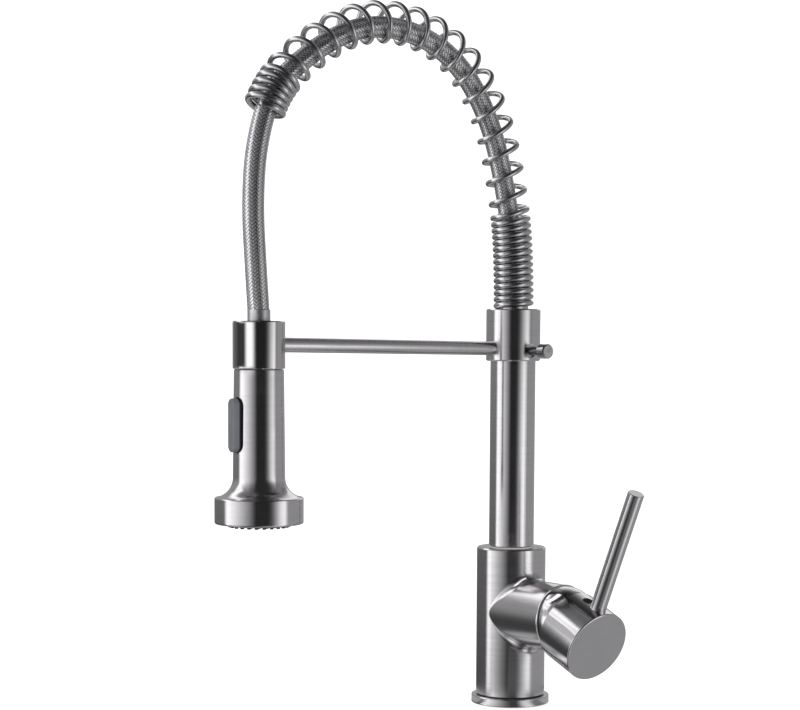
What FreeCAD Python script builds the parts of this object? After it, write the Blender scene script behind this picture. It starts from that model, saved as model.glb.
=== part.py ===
# Kitchen mixer tap with a sprung hose arch and a pull-down spray head.
# Millimetres. Origin on the column's axis at the deck's surface, +Z up,
# the spout reaches towards -Y (the user) and the lever is on +X.
import FreeCAD, Part
import Sketcher
import math
import os

V = FreeCAD.Vector
doc = FreeCAD.newDocument("kitchen_mixer_tap")
sheet = doc.addObject("Spreadsheet::Sheet", "Dims")


class Q:
    """A number together with the expression that yields it from the sheet."""

    def __init__(self, value, text):
        self.value, self.text = float(value), text

    def join(self, other, sign, value):
        return Q(value, "(%s %s %s)" % (self.text, sign, other.text))

    def __add__(self, o):
        o = q(o)
        return self.join(o, "+", self.value + o.value)

    def __sub__(self, o):
        o = q(o)
        return self.join(o, "-", self.value - o.value)

    def __mul__(self, o):
        o = q(o)
        return self.join(o, "*", self.value * o.value)

    def __truediv__(self, o):
        o = q(o)
        return self.join(o, "/", self.value / o.value)

    def __radd__(self, o):
        return q(o) + self

    def __rsub__(self, o):
        return q(o) - self

    def __rmul__(self, o):
        return q(o) * self

    def __neg__(self):
        return Q(-self.value, "(0 - %s)" % self.text)


def q(x):
    if isinstance(x, Q):
        return x
    return Q(x, "%.6g" % x if x >= 0 else "(0 - %.6g)" % -x)


rows = [0]


def dim(name, value):
    """One driving dimension: a labelled row of the sheet with an alias."""
    rows[0] += 1
    sheet.set("A%d" % rows[0], name)
    sheet.set("B%d" % rows[0], "%.6g" % value)
    sheet.setAlias("B%d" % rows[0], name)
    return Q(value, "Dims.%s" % name)


# ---------------------------------------------------------------- dimensions
base_rad = dim("base_rad", 26.0)
base_hgt = dim("base_hgt", 5.4)
base_bore = dim("base_bore", 16.6)
gasket_in = dim("gasket_in", 19.0)
gasket_out = dim("gasket_out", 23.0)
gasket_thk = dim("gasket_thk", 1.6)
seal_gap = dim("seal_gap", 0.5)
body_rad = dim("body_rad", 23.0)
body_top = dim("body_top", 104.8)
shank_rad = dim("shank_rad", 16.0)
shank_thread = dim("shank_thread", 15.5)
shank_bore = dim("shank_bore", 13.2)
shank_drop = dim("shank_drop", 58.0)
shank_engage = dim("shank_engage", 10.8)
inlet_x = dim("inlet_x", 2.0)
inlet_y = dim("inlet_y", 7.0)
inlet_rad = dim("inlet_rad", 4.5)
inlet_top = dim("inlet_top", 34.0)
way_rad = dim("way_rad", 2.8)
outlet_rad = dim("outlet_rad", 4.0)
branch_rad = dim("branch_rad", 22.5)
branch_z = dim("branch_z", 62.0)
branch_end = dim("branch_end", 53.6)
edge_cut = dim("edge_cut", 0.8)
blend_rad = dim("blend_rad", 6.0)
chamber_rad = dim("chamber_rad", 17.5)
chamber_back = dim("chamber_back", 11.0)
bonnet_seat = dim("bonnet_seat", 47.0)
bonnet_rad = dim("bonnet_rad", 20.5)
bonnet_ball = dim("bonnet_ball", 21.8)
bonnet_groove = dim("bonnet_groove", 0.9)
bonnet_in = dim("bonnet_in", 18.3)
bonnet_hole = dim("bonnet_hole", 13.2)
swivel_rad = dim("swivel_rad", 12.0)
swivel_bottom = dim("swivel_bottom", 82.0)
run_fit = dim("run_fit", 0.05)
pivot_x = dim("pivot_x", 55.0)
rotor_rad = dim("rotor_rad", 12.0)
rotor_back = dim("rotor_back", 34.3)
rotor_front = dim("rotor_front", 60.0)
slot_half = dim("slot_half", 4.2)
slot_back = dim("slot_back", 44.0)
pin_rad = dim("pin_rad", 1.5)
pin_half = dim("pin_half", 10.5)
lever_tilt = dim("lever_tilt", 21.7)
cap_rad = dim("cap_rad", 23.75)
cap_drop = dim("cap_drop", 1.45)
cap_face = dim("cap_face", 34.5)
cap_in = dim("cap_in", 23.0)
cap_edge = dim("cap_edge", 0.9)
cap_rear = dim("cap_rear", 5.0)
cap_gap = dim("cap_gap", 0.6)
cap_floor = dim("cap_floor", 22.2)
rod_rad = dim("rod_rad", 5.25)
rod_at = dim("rod_at", 25.15)
rod_foot = dim("rod_foot", 13.18)
rod_length = dim("rod_length", 91.8)
rod_lean = dim("rod_lean", 2.3)
stem_half = dim("stem_half", 4.0)
stem_back = dim("stem_back", 6.0)
stem_front = dim("stem_front", 26.0)
plug_at = dim("plug_at", 16.2)
plug_rad = dim("plug_rad", 4.1)
plug_floor = dim("plug_floor", 19.0)
plug_top = dim("plug_top", 20.3)
col_rad = dim("col_rad", 15.0)
col_bore = dim("col_bore", 8.0)
col_foot = dim("col_foot", 105.6)
col_top = dim("col_top", 261.4)
spigot_foot = dim("spigot_foot", 84.0)
oring_rad = dim("oring_rad", 1.2)
oring_low = dim("oring_low", 89.0)
oring_high = dim("oring_high", 98.0)
collar_rad = dim("collar_rad", 18.0)
collar_low = dim("collar_low", 229.0)
collar_top = dim("collar_top", 263.4)
nipple_rad = dim("nipple_rad", 9.8)
nipple_low = dim("nipple_low", 246.0)
nipple_top = dim("nipple_top", 271.8)
barb_rad = dim("barb_rad", 4.95)
barb_top = dim("barb_top", 290.0)
arm_rad = dim("arm_rad", 4.6)
arm_z = dim("arm_z", 237.3)
arm_lean = dim("arm_lean", 0.89)
arm_start = dim("arm_start", 15.6)
arm_stop = dim("arm_stop", 185.6)
reach = dim("reach", 200.0)
dock_rad = dim("dock_rad", 16.0)
dock_low = dim("dock_low", 225.5)
dock_top = dim("dock_top", 254.5)
dock_bore = dim("dock_bore", 13.4)
dock_mouth = dim("dock_mouth", 9.4)
dock_shelf = dim("dock_shelf", 249.5)
liner_in = dim("liner_in", 12.4)
knob_z = dim("knob_z", 235.7)
knob_start = dim("knob_start", 27.8)
knob_end = dim("knob_end", 35.9)
knob_rad = dim("knob_rad", 4.8)
screw_dish = dim("screw_dish", 4.8)
screw_dish_floor = dim("screw_dish_floor", 16.2)
screw_rad = dim("screw_rad", 2.45)
screw_neck = dim("screw_neck", 2.7)
hose_rad = dim("hose_rad", 6.9)
hose_bore = dim("hose_bore", 5.0)
coil_rad = dim("coil_rad", 13.4)
coil_in = dim("coil_in", 10.2)
coil_start = dim("coil_start", 263.6)
coil_length = dim("coil_length", 349.0)
head_top = dim("head_top", 225.2)
head_rad = dim("head_rad", 15.25)
head_waist = dim("head_waist", 15.95)
flare_top = dim("flare_top", 159.5)
flare_rad = dim("flare_rad", 12.3)
rim_rad = dim("rim_rad", 27.2)
rim_top = dim("rim_top", 147.3)
rim_low = dim("rim_low", 131.2)
head_cavity = dim("head_cavity", 12.0)
neck_rad = dim("neck_rad", 11.9)
neck_top = dim("neck_top", 245.0)
ferrule_rad = dim("ferrule_rad", 7.0)
ferrule_top = dim("ferrule_top", 261.5)
face_rad = dim("face_rad", 25.0)
face_low = dim("face_low", 131.7)
face_top = dim("face_top", 135.4)
disc_rad = dim("disc_rad", 20.4)
disc_low = dim("disc_low", 130.2)
nozzle_low = dim("nozzle_low", 129.2)
nozzle_rad = dim("nozzle_rad", 1.5)
nozzle_ring = dim("nozzle_ring", 17.8)
nozzle_mid = dim("nozzle_mid", 12.9)
aerator_rad = dim("aerator_rad", 8.5)
button_len = dim("button_len", 32.6)
button_wid = dim("button_wid", 7.6)
button_z = dim("button_z", 191.6)
button_back = dim("button_back", 14.2)
button_front = dim("button_front", 20.1)
button_gap = dim("button_gap", 0.45)
pocket_gap = dim("pocket_gap", 1.7)
pocket_end = dim("pocket_end", 0.7)
seal_front = dim("seal_front", 14.3)
pocket_floor = dim("pocket_floor", 12.7)
doc.recompute()


# ------------------------------------------------------------------- helpers
ROT = {
    "z": FreeCAD.Rotation(),
    "x": FreeCAD.Rotation(V(0, 1, 0), 90),
    "y": FreeCAD.Rotation(V(1, 0, 0), -90),
    "-y": FreeCAD.Rotation(V(1, 0, 0), 90),
}


def place(obj, pos, rot=None):
    """Give an object its rotation and bind its position to the sheet."""
    pos = [q(c) for c in pos]
    obj.Placement = FreeCAD.Placement(
        V(*[c.value for c in pos]), rot if rot else FreeCAD.Rotation()
    )
    for axis, c in zip("xyz", pos):
        if "Dims." in c.text:
            obj.setExpression("Placement.Base.%s" % axis, c.text)
    return obj


def bind(obj, prop, value):
    value = q(value)
    setattr(obj, prop, value.value)
    if "Dims." in value.text:
        obj.setExpression(prop, value.text)


def cylinder(name, rad, length, pos=(0, 0, 0), axis="z"):
    o = doc.addObject("Part::Cylinder", name)
    bind(o, "Radius", rad)
    bind(o, "Height", length)
    return place(o, pos, ROT[axis])


def cone(name, rad1, rad2, length, pos=(0, 0, 0), axis="z"):
    o = doc.addObject("Part::Cone", name)
    bind(o, "Radius1", rad1)
    bind(o, "Radius2", rad2)
    bind(o, "Height", length)
    return place(o, pos, ROT[axis])


def box(name, dx, dy, dz, pos=(0, 0, 0), rot=None):
    o = doc.addObject("Part::Box", name)
    bind(o, "Length", dx)
    bind(o, "Width", dy)
    bind(o, "Height", dz)
    return place(o, pos, rot)


def fuse(name, parts):
    o = doc.addObject("Part::MultiFuse", name)
    o.Shapes = parts
    o.Refine = True
    return o


def cut(name, base, tools):
    o = doc.addObject("Part::Cut", name)
    o.Base = base
    o.Tool = tools[0] if len(tools) == 1 else fuse(name + "_tools", tools)
    o.Refine = True
    return o


def profile(sketch, pts, arcs):
    """Closed profile through pts, (across, up); arcs maps a segment's index to
    (radius, side): side +1 has the centre to the left of the segment."""
    pts = [(q(a), q(b)) for a, b in pts]
    n = len(pts)
    ends = []
    for i in range(n):
        p = V(pts[i][0].value, pts[i][1].value, 0)
        r = V(pts[(i + 1) % n][0].value, pts[(i + 1) % n][1].value, 0)
        if i in arcs:
            rad, side = q(arcs[i][0]).value, arcs[i][1]
            mid, half = (p + r) * 0.5, (r - p).Length / 2
            left = V(-(r - p).y, (r - p).x, 0).normalize()
            c = mid + left * (side * math.sqrt(max(rad * rad - half * half, 0)))
            a, b = (p, r) if side > 0 else (r, p)
            circle = Part.Circle(c, V(0, 0, 1), rad)
            t0 = math.atan2(a.y - c.y, a.x - c.x)
            t1 = math.atan2(b.y - c.y, b.x - c.x)
            if t1 < t0:
                t1 += 2 * math.pi
            sketch.addGeometry(Part.ArcOfCircle(circle, t0, t1))
            ends.append((1, 2) if side > 0 else (2, 1))
        else:
            sketch.addGeometry(Part.LineSegment(p, r))
            ends.append((1, 2))
    for i in range(n):
        j = (i + 1) % n
        sketch.addConstraint(
            Sketcher.Constraint("Coincident", i, ends[i][1], j, ends[j][0])
        )
    for i in range(n):
        for kind, tag, c, axis in (
            ("DistanceX", "across", pts[i][0], -2),
            ("DistanceY", "up", pts[i][1], -1),
        ):
            if c.value == 0 and "Dims." not in c.text:
                sketch.addConstraint(
                    Sketcher.Constraint("PointOnObject", i, ends[i][0], axis)
                )
                continue
            k = sketch.addConstraint(
                Sketcher.Constraint(kind, -1, 1, i, ends[i][0], c.value)
            )
            sketch.renameConstraint(k, "%s%d" % (tag, i))
            if "Dims." in c.text:
                sketch.setExpression("Constraints.%s%d" % (tag, i), c.text)
    for i in arcs:
        rad = q(arcs[i][0])
        k = sketch.addConstraint(Sketcher.Constraint("Radius", i, rad.value))
        sketch.renameConstraint(k, "round%d" % i)
        if "Dims." in rad.text:
            sketch.setExpression("Constraints.round%d" % i, rad.text)


def turned(name, pts, arcs={}, pos=(0, 0, 0), axis="z"):
    """A turned piece: a body with one profile revolved about its own axis."""
    body = doc.addObject("PartDesign::Body", name)
    sketch = body.newObject("Sketcher::SketchObject", name + "_profile")
    plane = [f for f in body.Origin.OriginFeatures if f.Role == "XZ_Plane"][0]
    sketch.AttachmentSupport = [(plane, "")]
    sketch.MapMode = "FlatFace"
    profile(sketch, pts, arcs)
    rev = body.newObject("PartDesign::Revolution", name + "_turn")
    rev.Profile = sketch
    rev.ReferenceAxis = (sketch, ["V_Axis"])
    rev.Angle = 360
    body.Tip = rev
    return place(body, pos, ROT[axis])


nodes = []


def node(obj, name):
    obj.Label = name
    nodes.append(obj)
    return obj


# ------------------------------------------------------- base and fixed body
e = edge_cut
node(
    turned(
        "base_ring",
        [
            (base_bore, 0),
            (gasket_in, 0),
            (gasket_in, gasket_thk),
            (gasket_out, gasket_thk),
            (gasket_out, 0),
            (base_rad - 0.4, 0),
            (base_rad, 0.4),
            (base_rad, base_hgt - 0.7),
            (base_rad - 0.7, base_hgt),
            (base_bore, base_hgt),
        ],
        {7: (0.7, 1)},
    ),
    "base_ring",
)
node(
    turned(
        "base_gasket",
        [(gasket_in, 0), (gasket_out, 0), (gasket_out, gasket_thk), (gasket_in, gasket_thk)],
    ),
    "base_gasket",
)
body_low = base_hgt + seal_gap
node(
    turned(
        "body_seal_ring",
        [
            (base_bore, base_hgt),
            (body_rad - 1.0, base_hgt),
            (body_rad - 1.0, body_low),
            (base_bore, body_low),
        ],
    ),
    "body_seal_ring",
)
shank_top = body_low + shank_engage
node(
    turned(
        "mounting_shank",
        [
            (shank_bore, -shank_drop),
            (shank_rad - 1.2, -shank_drop),
            (shank_rad, -shank_drop + 1.2),
            (shank_rad, 0),
            (shank_thread, 0),
            (shank_thread, shank_top),
            (shank_bore, shank_top),
        ],
    ),
    "mounting_shank",
)

# upright barrel with a socket for the spout on top
barrel = turned(
    "barrel",
    [
        (0, shank_top),
        (shank_thread, shank_top),
        (shank_thread, body_low),
        (body_rad - 0.5, body_low),
        (body_rad, body_low + 0.5),
        (body_rad, body_top - e),
        (body_rad - e, body_top),
        (swivel_rad + 0.6, body_top),
        (swivel_rad, body_top - 0.6),
        (swivel_rad, swivel_bottom),
        (0, swivel_bottom),
    ],
)
# side branch that carries the mixing valve
branch = turned(
    "branch",
    [
        (0, 0),
        (branch_rad, 0),
        (branch_rad, branch_end - e),
        (branch_rad - e, branch_end),
        (0, branch_end),
    ],
    pos=(0, 0, branch_z),
    axis="x",
)
# the branch starts on the axis and the socket's bore is cut again below it
outer = fuse("body_outer", [barrel, branch])
doc.recompute()


def joined_edges(shape, rad_a, rad_b):
    """Edges where the barrel's and the branch's cylinders meet."""
    found = []
    for i, edge in enumerate(shape.Edges, 1):
        owners = []
        for f in shape.ancestorsOfType(edge, Part.Face):
            s = f.Surface
            if isinstance(s, Part.Cylinder):
                owners.append((round(s.Radius, 3), abs(s.Axis.z) > 0.5))
        if (round(rad_a, 3), True) in owners and (round(rad_b, 3), False) in owners:
            found.append(i)
    return found


blended = outer
ids = joined_edges(outer.Shape, body_rad.value, branch_rad.value)
if ids:
    trial = doc.addObject("Part::Fillet", "body_blend")
    trial.Base = outer
    trial.Edges = [(i, blend_rad.value, blend_rad.value) for i in ids]
    doc.recompute()
    good = not trial.Shape.isNull() and trial.Shape.isValid() and len(trial.Shape.Solids) == 1
    if good and trial.Shape.Volume > outer.Shape.Volume:
        blended = trial
    else:
        doc.removeObject("body_blend")
print("branch blend", "rounded" if blended is not outer else "sharp", len(ids))

chamber = cylinder(
    "chamber", chamber_rad, branch_end - chamber_back + 5, (chamber_back, 0, branch_z), "x"
)
bonnet_bore = cylinder(
    "bonnet_bore", bonnet_rad + 0.1, branch_end - bonnet_seat + 5, (bonnet_seat, 0, branch_z), "x"
)
ways = [chamber, bonnet_bore]
for tag, sign in (("cold", 1), ("hot", -1)):
    y = inlet_y * sign
    ways.append(cylinder(tag + "_port", inlet_rad, inlet_top - shank_top + 1, (inlet_x, y, shank_top - 1)))
    ways.append(cylinder(tag + "_rise", way_rad, branch_z - 7 - inlet_top + way_rad + 1, (inlet_x, y, inlet_top - 1)))
    ways.append(cylinder(tag + "_way", way_rad, chamber_back - inlet_x + 1, (inlet_x, y, branch_z - 7), "x"))
ways.append(cylinder("outlet_way", outlet_rad, chamber_back + 1, (0, 0, branch_z + 7), "x"))
ways.append(cylinder("outlet_rise", outlet_rad, swivel_bottom - branch_z - 7 + 1, (0, 0, branch_z + 7)))
ways.append(cylinder("swivel_again", swivel_rad, body_top - swivel_bottom + 1, (0, 0, swivel_bottom)))
node(cut("body_shell", blended, ways), "body_shell")

node(
    turned(
        "swivel_bearing",
        [
            (swivel_rad + 0.7, body_top),
            (col_rad - 0.5, body_top),
            (col_rad - 0.5, body_top + 0.5),
            (swivel_rad + 0.7, body_top + 0.5),
        ],
    ),
    "swivel_bearing",
)

# ------------------------------------------------------------- mixing valve
node(
    turned(
        "cartridge_base_seal",
        [(13, chamber_back), (15.5, chamber_back), (15.5, chamber_back + 0.8), (13, chamber_back + 0.8)],
        pos=(0, 0, branch_z),
        axis="x",
    ),
    "cartridge_base_seal",
)
house_back = chamber_back + 0.8
house_front = q(42.0)
housing = turned(
    "housing_blank",
    [
        (0, house_back),
        (chamber_rad - 1.0, house_back),
        (chamber_rad - 0.2, house_back + 0.8),
        (chamber_rad - 0.2, house_front),
        (rotor_rad + run_fit, house_front),
        (rotor_rad + run_fit, rotor_back - 0.3),
        (0, rotor_back - 0.3),
    ],
    pos=(0, 0, branch_z),
    axis="x",
)
ports = [
    cylinder("house_cold", way_rad, 5, (house_back - 1, inlet_y, branch_z - 7), "x"),
    cylinder("house_hot", way_rad, 5, (house_back - 1, -inlet_y, branch_z - 7), "x"),
    cylinder("house_mix", outlet_rad, 5, (house_back - 1, 0, branch_z + 7), "x"),
]
node(cut("cartridge_housing", housing, ports), "cartridge_housing")
node(
    turned(
        "cartridge_nut",
        [
            (rotor_rad + 0.6, house_front),
            (chamber_rad - 0.1, house_front),
            (chamber_rad - 0.1, bonnet_seat - 0.8),
            (chamber_rad - 0.7, bonnet_seat - 0.2),
            (rotor_rad + 0.6, bonnet_seat - 0.2),
        ],
        pos=(0, 0, branch_z),
        axis="x",
    ),
    "cartridge_nut",
)


def on_sphere(rad, across):
    return math.sqrt(rad.value**2 - across.value**2)


# domed bonnet around the lever's pivot, open in front for the stem; a groove
# parts its ball from the branch's end
node(
    turned(
        "bonnet_dome",
        [
            (bonnet_in, bonnet_seat),
            (bonnet_rad, bonnet_seat),
            (bonnet_rad, branch_end + bonnet_groove),
            (bonnet_ball, branch_end + bonnet_groove),
            (bonnet_ball, pivot_x),
            (bonnet_hole, pivot_x + on_sphere(bonnet_ball, bonnet_hole)),
            (bonnet_hole, pivot_x + on_sphere(bonnet_in, bonnet_hole)),
            (bonnet_in, pivot_x),
        ],
        {4: (bonnet_ball, 1), 6: (bonnet_in, -1)},
        pos=(0, 0, branch_z),
        axis="x",
    ),
    "bonnet_dome",
)

rotor_blank = turned(
    "rotor_blank",
    [
        (0, rotor_back),
        (rotor_rad, rotor_back),
        (rotor_rad, rotor_front - 0.8),
        (rotor_rad - 0.8, rotor_front),
        (0, rotor_front),
    ],
    pos=(0, 0, branch_z),
    axis="x",
)
rotor_slot = box(
    "rotor_slot",
    rotor_front - slot_back + 2,
    slot_half * 2,
    rotor_rad * 2 + 4,
    (slot_back, -slot_half, branch_z - rotor_rad - 2),
)
rotor_hole = cylinder("rotor_hole", pin_rad, rotor_rad * 2 + 4, (pivot_x, -rotor_rad - 2, branch_z), "y")
node(cut("cartridge_rotor", rotor_blank, [rotor_slot, rotor_hole]), "cartridge_rotor")
node(
    cylinder("lever_pivot_pin", pin_rad, pin_half * 2, (pivot_x, -pin_half, branch_z), "y"),
    "lever_pivot_pin",
)

# --------------------------------------------- lever, drawn about its pivot
# local X is the cap's axis, local Z the rod's direction
tilted = FreeCAD.Rotation(V(0, 1, 0), lever_tilt.value)
pivot = (pivot_x, 0, branch_z)

stem_bar = box("stem_bar", stem_back + stem_front, stem_half * 2, stem_half * 2, (-stem_back, -stem_half, -stem_half))
stem_hole = cylinder("stem_hole", pin_rad + run_fit, stem_half * 2 + 4, (0, -stem_half - 2, 0), "y")
node(place(cut("lever_stem", stem_bar, [stem_hole]), pivot, tilted), "lever_stem")

c = cap_edge
# the cap's own axis lies a little below the pivot; its cavity clears the bonnet's ball
cap_blank = turned(
    "cap_blank",
    [
        (0, cap_floor),
        (8.5, cap_floor),
        (12.8, 19.6),
        (17.9, 15.0),
        (20.7, 11.2),
        (22.15, 8.0),
        (cap_in, cap_rear),
        (cap_rad - 0.35, cap_rear),
        (cap_rad, cap_rear + 0.35),
        (cap_rad, cap_face - c),
        (cap_rad - c, cap_face),
        (0, cap_face),
    ],
    {9: (c, 1)},
    pos=(0, 0, -cap_drop),
    axis="x",
)
# its lower half stops short of the branch's end
rear_cut = box("rear_cut", 40, 80, 80, (0, 0, 0))
turn = FreeCAD.Rotation(V(0, 1, 0), -lever_tilt.value)
corner = turn.multVec(V(branch_end.value + cap_gap.value - pivot_x.value - 40, -40, -40))
rear_cut.Placement = FreeCAD.Placement(corner, turn)
leaning = FreeCAD.Rotation(V(0, 1, 0), rod_lean.value)
rod_hole = cylinder("rod_hole", rod_rad, cap_rad)
place(rod_hole, (rod_at, 0, rod_foot), leaning)
stem_socket = box("stem_socket", stem_front - cap_floor + 1, stem_half * 2, stem_half * 2, (cap_floor - 1, -stem_half, -stem_half))
plug_hole = cylinder("plug_hole", plug_rad, 8, (plug_at, 0, plug_floor))
node(
    place(cut("lever_cap", cap_blank, [rear_cut, rod_hole, stem_socket, plug_hole]), pivot, tilted),
    "lever_cap",
)
rod_blank = turned(
    "rod_blank",
    [
        (0, 0),
        (rod_rad, 0),
        (rod_rad, rod_length - 0.6),
        (rod_rad - 0.6, rod_length),
        (0, rod_length),
    ],
    {2: (0.6, 1)},
)
place(rod_blank, (rod_at, 0, rod_foot), leaning)
rod = doc.addObject("Part::Compound", "lever_rod")
rod.Links = [rod_blank]
node(place(rod, pivot, tilted), "lever_rod")
plug_blank = turned(
    "plug_blank",
    [
        (0, plug_floor),
        (plug_rad - 0.1, plug_floor),
        (plug_rad - 0.1, plug_top),
        (2.0, plug_top),
        (1.7, plug_top - 0.6),
        (0, plug_top - 0.6),
    ],
    pos=(plug_at, 0, 0),
)
plug = doc.addObject("Part::Compound", "cap_plug")
plug.Links = [plug_blank]
node(place(plug, pivot, tilted), "cap_plug")

# ------------------------------------------------------------ swivel column
groove = oring_rad * 2 + 0.2
spigot = swivel_rad - run_fit


def notch(z):
    deep = spigot - 2.0
    return [
        (spigot, z - groove / 2),
        (deep, z - groove / 2),
        (deep, z + groove / 2),
        (spigot, z + groove / 2),
    ]


node(
    turned(
        "column",
        [(col_bore, spigot_foot), (spigot - 0.6, spigot_foot), (spigot, spigot_foot + 0.6)]
        + notch(oring_low)
        + notch(oring_high)
        + [
            (spigot, col_foot),
            (col_rad - 0.4, col_foot),
            (col_rad, col_foot + 0.4),
            (col_rad, col_top),
            (col_bore, col_top),
        ],
    ),
    "column",
)
rings = []
for tag, z in (("low", oring_low), ("high", oring_high)):
    o = doc.addObject("Part::Torus", "oring_" + tag)
    bind(o, "Radius1", spigot + 0.02 - oring_rad)
    bind(o, "Radius2", oring_rad)
    rings.append(place(o, (0, 0, z)))
orings = doc.addObject("Part::Compound", "spigot_orings")
orings.Links = rings
node(orings, "spigot_orings")

collar_blank = turned(
    "collar_blank",
    [
        (col_rad, collar_low),
        (collar_rad - e, collar_low),
        (collar_rad, collar_low + e),
        (collar_rad, collar_top - e),
        (collar_rad - e, collar_top),
        (nipple_rad + 0.1, collar_top),
        (nipple_rad + 0.1, col_top),
        (col_rad, col_top),
    ],
)
# the arm rises a little towards the dock
rising = FreeCAD.Rotation(V(1, 0, 0), 90 - arm_lean.value)
falling = FreeCAD.Rotation(V(1, 0, 0), -90 - arm_lean.value)
arm_rise = (arm_stop - arm_start) * math.sin(math.radians(arm_lean.value))
arm_hole = cylinder("arm_hole", arm_rad, 10)
place(arm_hole, (0, -arm_start, arm_z), rising)
screw_hole = cylinder("screw_hole", screw_rad + run_fit, 10, (col_rad - 1, 0, knob_z), "x")
screw_seat = cylinder("screw_seat", screw_dish, 10, (screw_dish_floor, 0, knob_z), "x")
node(cut("collar", collar_blank, [arm_hole, screw_hole, screw_seat]), "collar")
node(
    turned(
        "hose_nipple",
        [
            (3.2, nipple_low),
            (col_bore - 0.6, nipple_low),
            (col_bore, nipple_low + 0.6),
            (col_bore, col_top),
            (nipple_rad, col_top),
            (nipple_rad, nipple_top),
            (barb_rad, nipple_top),
            (barb_rad, barb_top - 1.5),
            (barb_rad - 0.8, barb_top),
            (3.2, barb_top),
        ],
    ),
    "hose_nipple",
)
arm = cylinder("arm", arm_rad, arm_stop - arm_start)
node(place(arm, (0, -arm_start, arm_z), rising), "arm")

# ring that holds the spray head
dock_blank = turned(
    "dock_blank",
    [
        (dock_bore, dock_low),
        (dock_rad - 0.5, dock_low),
        (dock_rad, dock_low + 0.5),
        (dock_rad, dock_top - 0.7),
        (dock_rad - 0.7, dock_top),
        (dock_mouth, dock_top),
        (dock_mouth, dock_shelf),
        (dock_bore, dock_shelf),
    ],
    pos=(0, -reach, 0),
)
dock_hole = cylinder("dock_hole", arm_rad, 20)
place(dock_hole, (0, -arm_stop, arm_z + arm_rise), falling)
node(cut("dock_ring", dock_blank, [dock_hole]), "dock_ring")
node(
    turned(
        "dock_liner",
        [
            (liner_in + 0.4, dock_low + 0.3),
            (dock_bore, dock_low + 0.3),
            (dock_bore, dock_shelf),
            (liner_in, dock_shelf),
            (liner_in, dock_low + 1.5),
        ],
        pos=(0, -reach, 0),
    ),
    "dock_liner",
)

# clamp screw of the collar
node(
    turned(
        "clamp_screw",
        [
            (0, col_rad + 0.3),
            (screw_rad - 0.4, col_rad + 0.3),
            (screw_rad, col_rad + 0.7),
            (screw_rad, collar_rad + 0.3),
            (screw_neck, collar_rad + 0.3),
            (screw_neck, knob_start),
            (0, knob_start),
        ],
        pos=(0, 0, knob_z),
        axis="x",
    ),
    "clamp_screw",
)
knob_blank = turned(
    "knob_blank",
    [
        (0, knob_start),
        (knob_rad - 1.3, knob_start),
        (knob_rad, knob_start + 1.3),
        (knob_rad, knob_end - 0.7),
        (knob_rad - 0.7, knob_end),
        (0, knob_end),
    ],
    pos=(0, 0, knob_z),
    axis="x",
)
node(knob_blank, "clamp_knob")

# ------------------------------------------- hose route and the coil about it
# corner points of the route in the arch's plane: (distance from the column, height)
route = [
    (0.0, 272.0),
    (0.0, 302.0),
    (7.2, 347.0),
    (19.0, 388.0),
    (44.0, 422.6),
    (79.8, 440.5),
    (121.0, 441.8),
    (158.5, 426.0),
    (189.3, 397.8),
    (202.2, 361.0),
    (204.5, 324.0),
    (202.4, 290.0),
    (200.4, 262.0),
]


def route_pieces(pts):
    """Straight runs and tangent arcs: ("line", a, b) or ("arc", centre, radius, from, turn)."""
    P = [V(0, -u, z) for u, z in pts]
    runs = [(b - a).Length for a, b in zip(P, P[1:])]
    pieces, at = [], P[0]
    for i in range(1, len(P) - 1):
        d0 = (P[i] - P[i - 1]).normalize()
        d1 = (P[i + 1] - P[i]).normalize()
        turn = math.acos(max(-1, min(1, d0.dot(d1))))
        short = min(runs[i - 1], runs[i])
        rad = 0.45 * short / math.tan(turn / 2)
        print("route point %d: turn %.1f, radius %.1f" % (i, math.degrees(turn), rad))
        t0 = P[i] - d0 * (0.45 * short)
        side = d1 - d0 * d0.dot(d1)
        side.normalize()
        centre = t0 + side * rad
        pieces.append(("line", at, t0))
        pieces.append(("arc", centre, rad, t0, d0, side, turn))
        at = P[i] + d1 * (0.45 * short)
    pieces.append(("line", at, P[-1]))
    return pieces


def route_wire(pieces, limit=None):
    """Wire along the pieces, cut off at a length if one is given; returns it with its length."""
    edges, total = [], 0.0
    for p in pieces:
        length = (p[2] - p[1]).Length if p[0] == "line" else p[2] * p[6]
        part = 1.0 if limit is None else min(1.0, (limit - total) / length)
        if part <= 1e-6:
            break
        if p[0] == "line":
            edges.append(Part.LineSegment(p[1], p[1] + (p[2] - p[1]) * part).toShape())
        else:
            centre, rad, d0, side, turn = p[1], p[2], p[4], p[5], p[6] * part

            def point(t):
                return centre - side * (rad * math.cos(t)) + d0 * (rad * math.sin(t))

            edges.append(Part.Arc(point(0), point(turn / 2), point(turn)).toShape())
        total += length * part
    return Part.Wire(edges), total


def tube(wire, outer_rad, inner_rad, start, direction):
    shapes = []
    for rad in (outer_rad, inner_rad):
        ring = Part.Wire([Part.Circle(start, direction, rad).toShape()])
        shapes.append(wire.makePipeShell([ring], True, False))
    return shapes[0].cut(shapes[1])


pieces = route_pieces(route)
wire, length = route_wire(pieces)
hose = doc.addObject("Part::Feature", "hose")
hose.Shape = tube(wire, hose_rad.value, hose_bore.value, V(0, 0, route[0][1]), V(0, 0, 1))
section = math.pi * (hose_rad.value**2 - hose_bore.value**2)
print("hose length %.1f, volume ratio %.5f" % (length, hose.Shape.Volume / (section * length)))
node(hose, "hose")

low = [("line", V(0, 0, coil_start.value), pieces[0][2])] + pieces[1:]
wire, length = route_wire(low, coil_length.value)
coil = doc.addObject("Part::Feature", "spring")
coil.Shape = tube(wire, coil_rad.value, coil_in.value, V(0, 0, coil_start.value), V(0, 0, 1))
section = math.pi * (coil_rad.value**2 - coil_in.value**2)
tail = wire.OrderedVertexes[-1].Point
print("coil length %.1f, volume ratio %.5f, ends at" % (length, coil.Shape.Volume / (section * length)), tail)
node(coil, "spring")

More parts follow.
